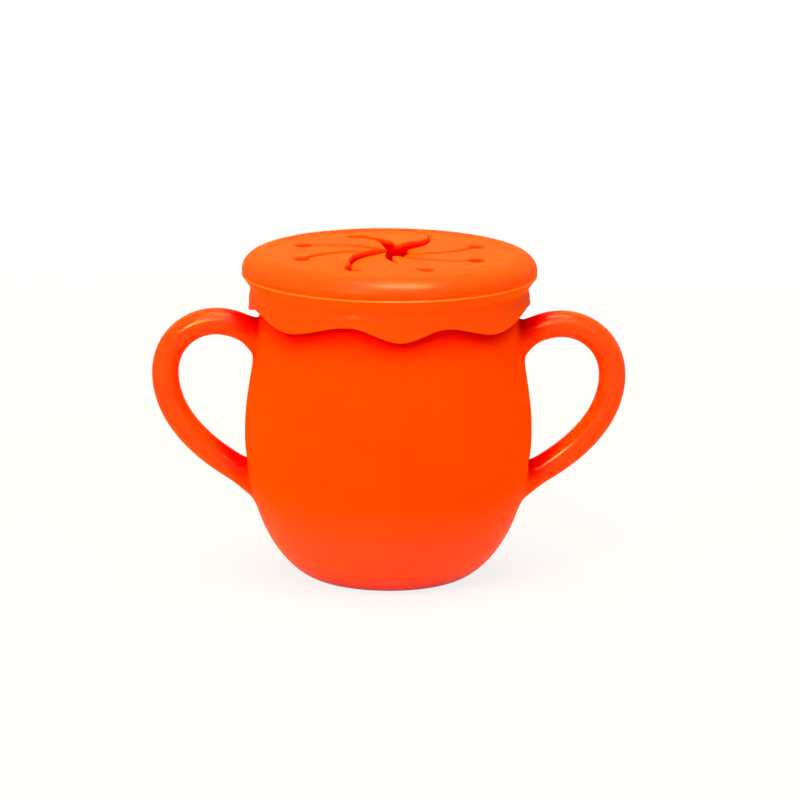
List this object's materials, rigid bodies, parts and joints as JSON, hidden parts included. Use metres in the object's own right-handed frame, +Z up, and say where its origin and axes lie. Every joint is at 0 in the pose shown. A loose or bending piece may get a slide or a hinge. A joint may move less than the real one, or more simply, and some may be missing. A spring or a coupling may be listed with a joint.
{
  "type": "toddler training cup",
  "caption": "Round-bellied soft silicone pot with a loop handle on each side and a push-fit lid with a drip-shaped skirt; curved slits let a small hand reach in.",
  "frame": {"origin": "centre of the pot's flat foot, on the surface that it stands on", "axes": "+Z up through the mouth, +X along the two handles to the right one, -Y the front"},
  "size_m": [0.145, 0.09, 0.1015],
  "materials": {
    "pot_silicone": "satin moulded silicone, orange",
    "lid_silicone": "satin moulded silicone, orange"
  },
  "bodies": {
    "pot": {"cup_body": "pot_silicone", "left_handle": "pot_silicone", "right_handle": "pot_silicone"},
    "lid": {"lid": "lid_silicone"},
    "petal_1": {"petal_1": "lid_silicone"},
    "petal_2": {"petal_2": "lid_silicone"},
    "petal_3": {"petal_3": "lid_silicone"},
    "petal_4": {"petal_4": "lid_silicone"},
    "petal_5": {"petal_5": "lid_silicone"},
    "petal_6": {"petal_6": "lid_silicone"},
    "petal_7": {"petal_7": "lid_silicone"},
    "petal_8": {"petal_8": "lid_silicone"}
  },
  "joints": [
    {"name": "lid_lift", "type": "slide", "parent": "pot", "child": "lid", "axis": [0, 0, 1], "range_m": [0, 0.06]},
    {"name": "petal_1_bend", "type": "hinge", "parent": "lid", "child": "petal_1", "pos_m": [0.01868, 0.01868, 0.1004], "axis": [-0.7071, 0.7071, 0], "range_deg": [-40, 65], "stiffness_Nm_per_rad": 0.0035},
    {"name": "petal_2_bend", "type": "hinge", "parent": "lid", "child": "petal_2", "pos_m": [0, 0.02642, 0.1004], "axis": [-1, 0, 0], "range_deg": [-40, 65], "stiffness_Nm_per_rad": 0.0035},
    {"name": "petal_3_bend", "type": "hinge", "parent": "lid", "child": "petal_3", "pos_m": [-0.01868, 0.01868, 0.1004], "axis": [-0.7071, -0.7071, 0], "range_deg": [-40, 65], "stiffness_Nm_per_rad": 0.0035},
    {"name": "petal_4_bend", "type": "hinge", "parent": "lid", "child": "petal_4", "pos_m": [-0.02642, 0, 0.1004], "axis": [0, -1, 0], "range_deg": [-40, 65], "stiffness_Nm_per_rad": 0.0035},
    {"name": "petal_5_bend", "type": "hinge", "parent": "lid", "child": "petal_5", "pos_m": [-0.01868, -0.01868, 0.1004], "axis": [0.7071, -0.7071, 0], "range_deg": [-40, 65], "stiffness_Nm_per_rad": 0.0035},
    {"name": "petal_6_bend", "type": "hinge", "parent": "lid", "child": "petal_6", "pos_m": [0, -0.02642, 0.1004], "axis": [1, 0, 0], "range_deg": [-40, 65], "stiffness_Nm_per_rad": 0.0035},
    {"name": "petal_7_bend", "type": "hinge", "parent": "lid", "child": "petal_7", "pos_m": [0.01868, -0.01868, 0.1004], "axis": [0.7071, 0.7071, 0], "range_deg": [-40, 65], "stiffness_Nm_per_rad": 0.0035},
    {"name": "petal_8_bend", "type": "hinge", "parent": "lid", "child": "petal_8", "pos_m": [0.02642, 0, 0.1004], "axis": [0, 1, 0], "range_deg": [-40, 65], "stiffness_Nm_per_rad": 0.0035}
  ]
}
